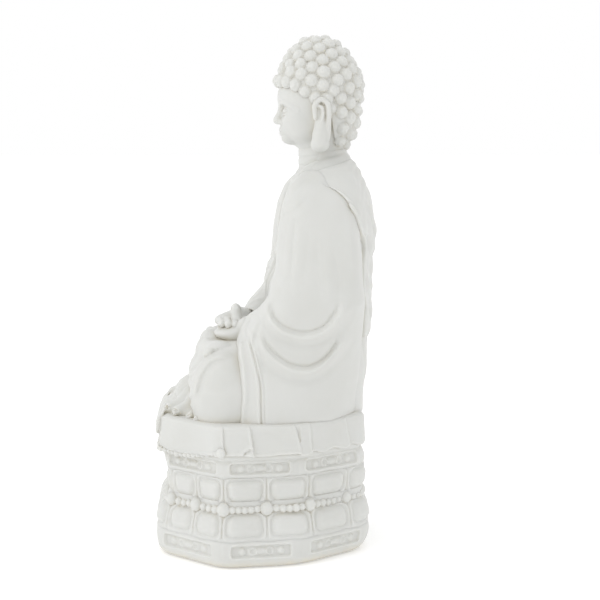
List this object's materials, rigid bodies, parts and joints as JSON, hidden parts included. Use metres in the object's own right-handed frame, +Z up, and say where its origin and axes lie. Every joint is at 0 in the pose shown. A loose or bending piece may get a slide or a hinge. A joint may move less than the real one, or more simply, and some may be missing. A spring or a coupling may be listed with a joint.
{
  "type": "buddha statue",
  "caption": "Seated Buddha in meditation on an octagonal lotus throne, cast in white stone resin, as a free-standing altar or shelf figure.",
  "frame": {"origin": "on the underside of the throne, below the middle of the overall box", "axes": "+Z up, the figure faces -Y, its left hand is towards +X"},
  "size_m": [0.149, 0.13, 0.2996],
  "materials": {
    "cast_stone": "white marble-dust resin, fine matte with a slight soft sheen, warm in the recesses",
    "steel_pin": "plain ground pin",
    "base_board": "board faced with short-pile felt"
  },
  "bodies": {
    "root": {"plinth": "cast_stone", "throne_waist": "cast_stone", "lower_petal_ring": "cast_stone", "bead_garland": "cast_stone", "upper_petal_ring": "cast_stone", "upper_tier": "cast_stone", "seat_cloth": "cast_stone", "hem_beads": "cast_stone", "torso": "cast_stone", "left_sleeve": "cast_stone", "right_sleeve": "cast_stone", "back_drape": "cast_stone", "crossed_legs": "cast_stone", "robe_hem_fan": "cast_stone", "left_hand": "cast_stone", "right_hand": "cast_stone", "head": "cast_stone", "hair_cap": "cast_stone", "urna": "cast_stone", "neck_pin": "steel_pin", "seat_pin_left": "steel_pin", "seat_pin_right": "steel_pin", "closing_plate": "base_board"}
  },
  "joints": []
}
